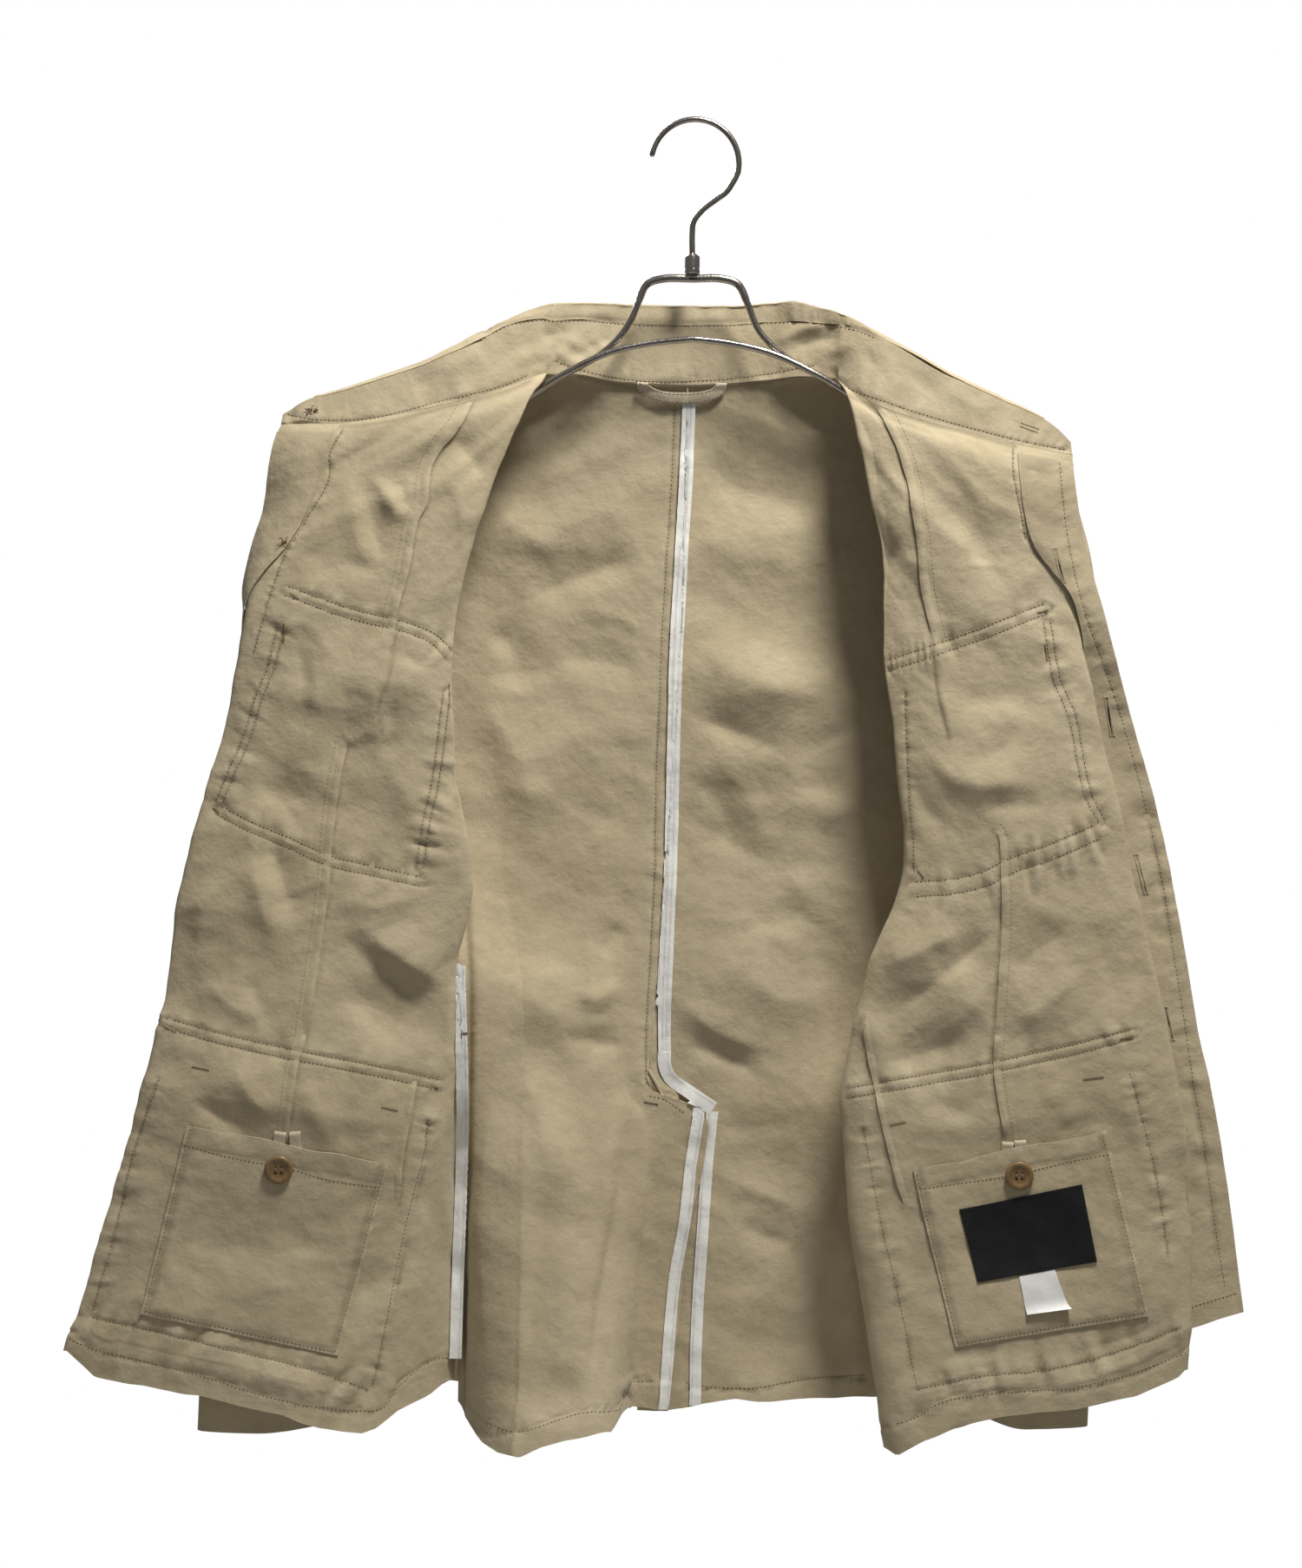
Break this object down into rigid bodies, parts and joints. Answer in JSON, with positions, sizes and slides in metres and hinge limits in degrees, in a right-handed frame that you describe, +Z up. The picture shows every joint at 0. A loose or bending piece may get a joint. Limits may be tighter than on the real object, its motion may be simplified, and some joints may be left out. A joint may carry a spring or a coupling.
{
  "type": "safari jacket on a hanger",
  "caption": "Unlined cotton safari jacket hanging open on a wire hanger, its inside to the front, with pocketed fronts folded back, a shirt collar, a back vent and straight sleeves.",
  "frame": {"origin": "highest point inside the hanger's hook, where a rail carries it", "axes": "+Z up along the hang, +X to the right as the open side is faced, +Y from the open side towards the jacket's back"},
  "size_m": [0.8151, 0.106, 0.9321],
  "materials": {
    "twill": "washed cotton twill, matt",
    "tape": "off-white woven cotton tape",
    "button": "brown horn-like buttons, satin",
    "label": "black woven patch, blank",
    "tag": "white printed-ribbon tag, blank",
    "steel": "polished steel wire"
  },
  "bodies": {
    "root": {"front_left": "twill", "front_right": "twill", "placket_left": "twill", "placket_right": "twill", "back_left": "twill", "back_right": "twill", "sleeve_left": "twill", "sleeve_right": "twill", "cuff_left": "twill", "cuff_right": "twill", "collar_stand": "twill", "collar_leaf": "twill", "chest_pocket_left": "twill", "chest_pocket_right": "twill", "chest_flap_left": "twill", "chest_flap_right": "twill", "lower_pocket_left": "twill", "lower_pocket_right": "twill", "lower_flap_left": "twill", "lower_flap_right": "twill", "inner_pocket_left": "twill", "inner_pocket_right": "twill", "button_loop_left": "twill", "button_loop_right": "twill", "hanger_loop": "twill", "tape_centre_back": "tape", "tape_vent_left": "tape", "tape_vent_right": "tape", "tape_side_left": "tape", "inner_button_left": "button", "inner_button_right": "button", "chest_flap_button_left": "button", "chest_flap_button_right": "button", "lower_flap_button_left": "button", "lower_flap_button_right": "button", "front_button_1": "button", "front_button_2": "button", "front_button_3": "button", "front_button_4": "button", "collar_button": "button", "label_patch": "label", "care_tag": "tag", "hanger_hook": "steel", "hanger_ferrule": "steel", "hanger_frame": "steel"}
  },
  "joints": []
}
